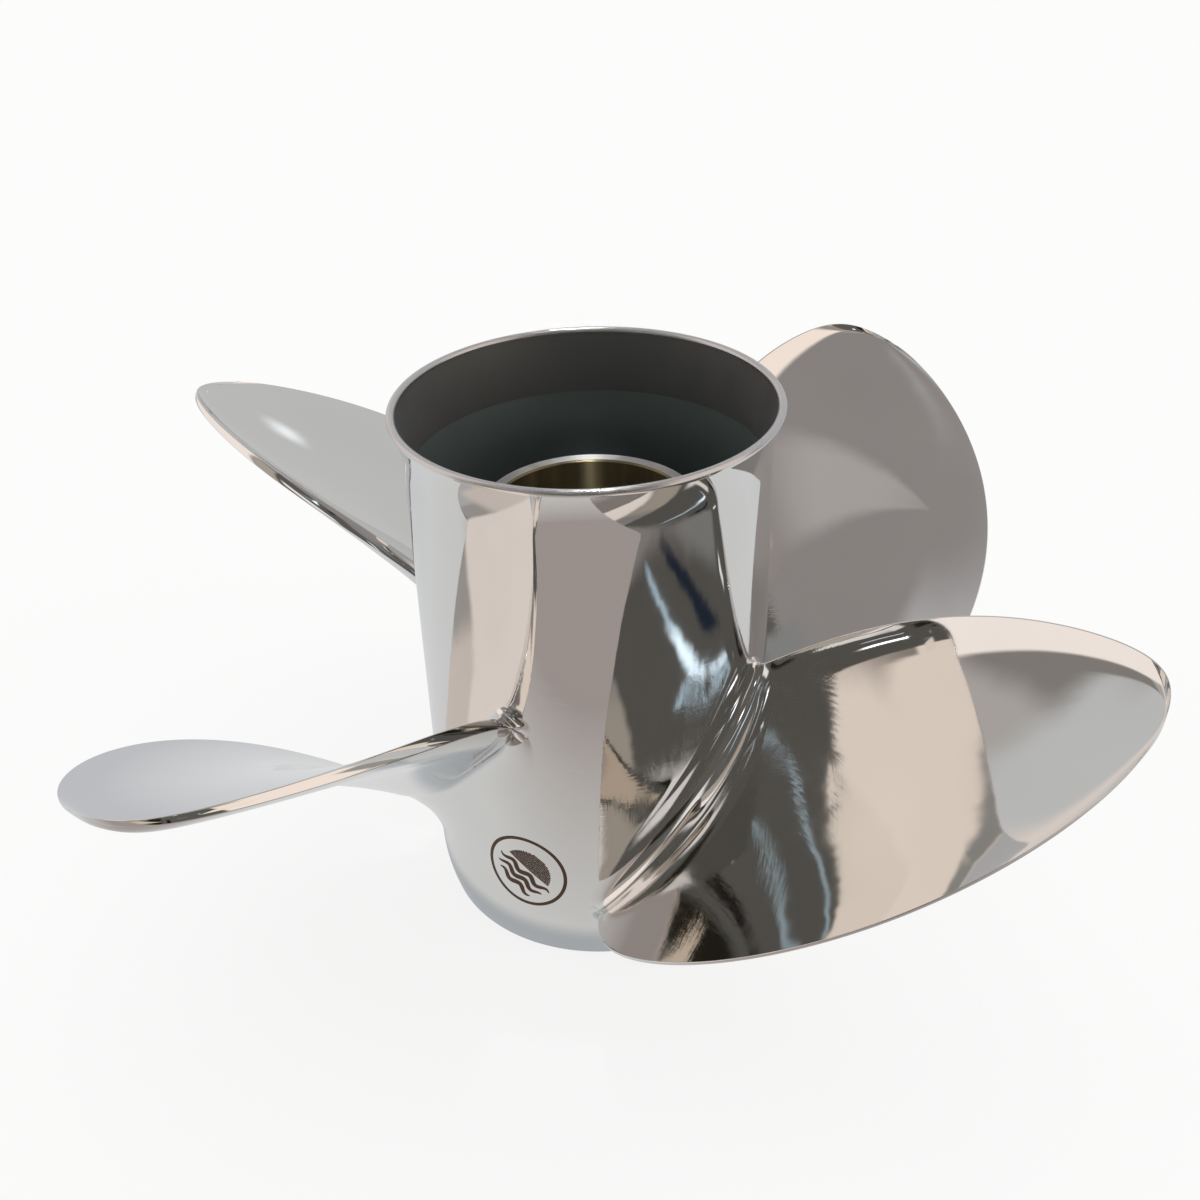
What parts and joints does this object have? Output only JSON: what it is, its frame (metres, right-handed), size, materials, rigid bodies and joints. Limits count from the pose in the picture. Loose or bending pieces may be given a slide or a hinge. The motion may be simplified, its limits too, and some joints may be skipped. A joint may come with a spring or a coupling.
{
  "type": "outboard boat propeller",
  "caption": "Polished stainless steel outboard propeller: raked cupped blades on a hollow exhaust barrel with a flared aft ring, an inner hub and a splined drive sleeve.",
  "frame": {"origin": "centre of the barrel's forward end face, on the shaft axis", "axes": "+Z along the shaft axis towards the aft end; blade 1 sweeps round the -Y side towards +X"},
  "size_m": [0.2942, 0.2942, 0.1775],
  "materials": {
    "polished_steel": "mirror-polished stainless steel",
    "machined_steel": "turned end face, smooth bore with a brown tint",
    "cast_steel": "dark cast skin",
    "hub_rubber": "moulded black rubber",
    "sleeve_brass": "machined"
  },
  "bodies": {
    "root": {"hub_barrel": "polished_steel", "diffuser_ring": "polished_steel", "blade_1": "polished_steel", "blade_2": "polished_steel", "blade_3": "polished_steel", "blade_4": "polished_steel", "inner_hub": "machined_steel", "rib_1": "cast_steel", "rib_2": "cast_steel", "rib_3": "cast_steel", "rib_4": "cast_steel", "hub_bushing": "hub_rubber", "drive_sleeve": "sleeve_brass"}
  },
  "joints": []
}
